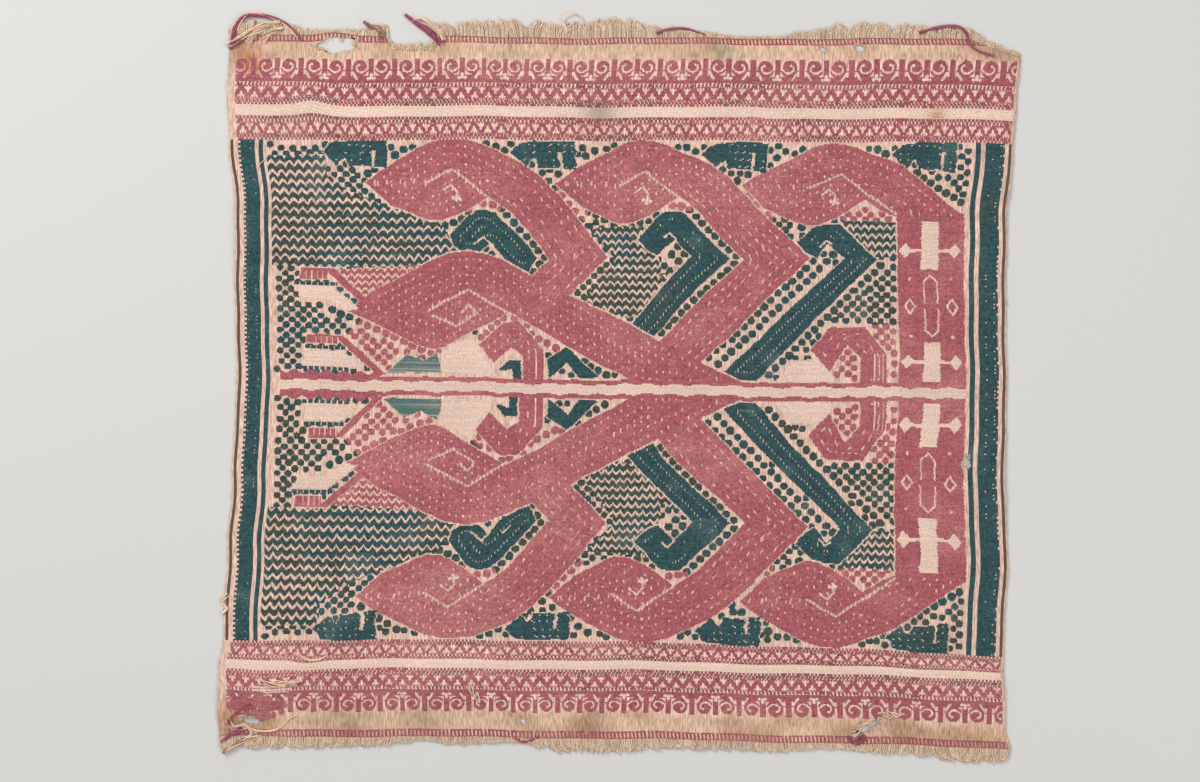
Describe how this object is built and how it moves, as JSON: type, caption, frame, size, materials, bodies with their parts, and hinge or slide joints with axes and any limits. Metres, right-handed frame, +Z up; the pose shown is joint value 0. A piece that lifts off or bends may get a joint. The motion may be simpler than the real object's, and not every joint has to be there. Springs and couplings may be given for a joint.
{
  "type": "ceremonial cloth",
  "caption": "Nearly square handwoven cotton ceremonial cloth lying flat, with a mirrored pattern of hooked prows in rose and teal pattern wefts, banded ends, worn edges and a short warp fringe.",
  "frame": {"origin": "on the surface that the cloth lies on, under the middle of its outline", "axes": "+X along the pattern's weft towards the right edge as pictured, +Y along the warp towards the torn upper end, +Z up out of the patterned face"},
  "size_m": [0.722, 0.6708, 0.0079],
  "materials": {
    "cloth": "handwoven cotton with raised pattern wefts",
    "fringe": "loose cotton warp loops"
  },
  "bodies": {
    "root": {"cloth": "cloth", "top_fringe_left": "fringe", "top_fringe_right": "fringe", "bottom_fringe": "fringe"}
  },
  "joints": []
}
